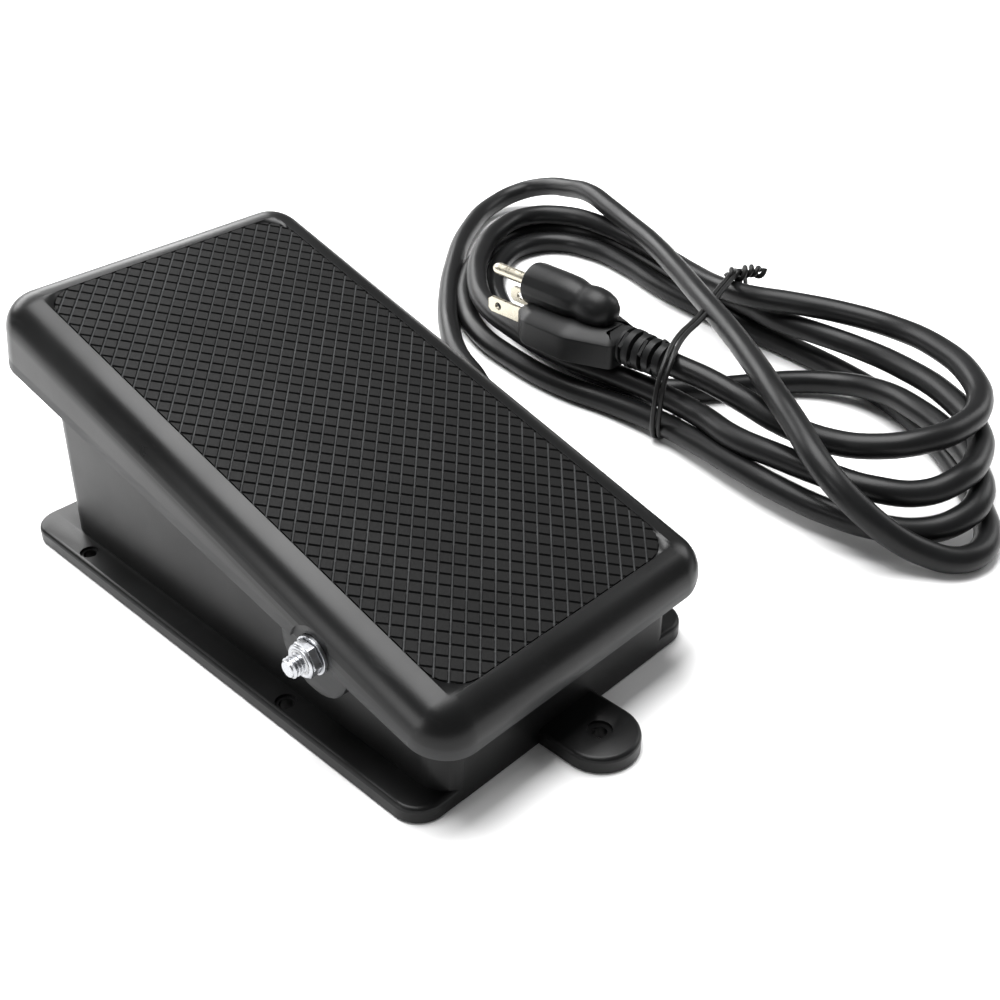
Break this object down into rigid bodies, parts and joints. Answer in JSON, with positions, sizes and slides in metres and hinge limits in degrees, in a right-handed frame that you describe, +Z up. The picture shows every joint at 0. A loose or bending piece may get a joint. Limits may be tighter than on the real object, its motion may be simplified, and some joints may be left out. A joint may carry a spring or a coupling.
{
  "type": "foot control pedal",
  "caption": "Foot speed control with a hinged treadle and ribbed mat over a wedge base, return spring and speed control inside, outlet at the rear and a coiled mains cord with plug.",
  "frame": {"origin": "on the floor under the middle of the pedal's overall size, cord and gland left out", "axes": "+Z up, +Y towards the high end of the treadle, +X to the side the mains cord leaves"},
  "size_m": [0.3339, 0.3213, 0.0865],
  "materials": {
    "black_plastic": "moulded, fine satin grain",
    "treadle_plastic": "moulded, satin with scuffs",
    "rubber": "matt rubber",
    "zinc_steel": "zinc plated",
    "spring_steel": "plain spring steel",
    "nylon": "natural nylon",
    "part_plastic": "moulded",
    "board": "green circuit board",
    "aluminium": "plain",
    "copper": "enamelled copper wire",
    "cord_pvc": "soft PVC jacket",
    "tie_pvc": "soft PVC",
    "wire_black": "PVC",
    "wire_white": "PVC",
    "wire_green": "PVC",
    "plug_pvc": "soft PVC, satin",
    "pin_metal": "nickel washed brass"
  },
  "bodies": {
    "pedal_base": {"base_housing": "black_plastic", "bottom_cover": "black_plastic", "cover_screw_1": "zinc_steel", "cover_screw_2": "zinc_steel", "cover_screw_3": "zinc_steel", "cover_screw_4": "zinc_steel", "rubber_foot_1": "rubber", "rubber_foot_2": "rubber", "rubber_foot_3": "rubber", "rubber_foot_4": "rubber", "left_bush": "nylon", "right_bush": "nylon", "return_spring": "spring_steel", "slide_potentiometer": "part_plastic", "circuit_board": "board", "heat_sink": "aluminium", "choke_coil": "copper", "triac": "part_plastic", "suppressor_capacitor": "part_plastic", "outlet_socket": "black_plastic", "socket_screw_1": "zinc_steel", "socket_screw_2": "zinc_steel", "rest_pad_1": "rubber", "rest_pad_2": "rubber", "end_buffer_1": "rubber", "end_buffer_2": "rubber", "cord_gland": "black_plastic", "cord_clamp": "black_plastic", "clamp_screw_1": "zinc_steel", "clamp_screw_2": "zinc_steel", "cord_inner_end": "cord_pvc", "line_wire_in": "wire_black", "neutral_wire_in": "wire_white", "earth_wire": "wire_green", "line_wire_out": "wire_black", "neutral_wire_out": "wire_white", "cord_free_run": "cord_pvc", "cord_hank": "cord_pvc", "twist_tie": "tie_pvc", "plug_body": "plug_pvc", "plug_relief": "plug_pvc", "ground_pin": "pin_metal", "line_blade": "pin_metal", "neutral_blade": "pin_metal"},
    "treadle": {"treadle": "treadle_plastic", "tread_mat": "rubber", "pivot_bolt": "zinc_steel", "nut_washer": "zinc_steel", "lock_nut": "zinc_steel", "head_washer": "zinc_steel"},
    "plunger": {"push_rod": "nylon", "wiper_carriage": "nylon"}
  },
  "joints": [
    {"name": "treadle_hinge", "type": "hinge", "parent": "pedal_base", "child": "treadle", "pos_m": [0.0013, -0.0423, 0.034], "axis": [1, 0, 0], "range_deg": [-4, 0], "stiffness_Nm_per_rad": 2, "springref_deg": 14.32, "deforming": ["return_spring"]},
    {"name": "push_rod_slide", "type": "slide", "parent": "pedal_base", "child": "plunger", "axis": [0, 0, 1], "range_m": [-0.004, 0]}
  ],
  "couplings": [
    {"joint": "push_rod_slide", "follows": "treadle_hinge", "m_per_rad": 0.0568}
  ]
}
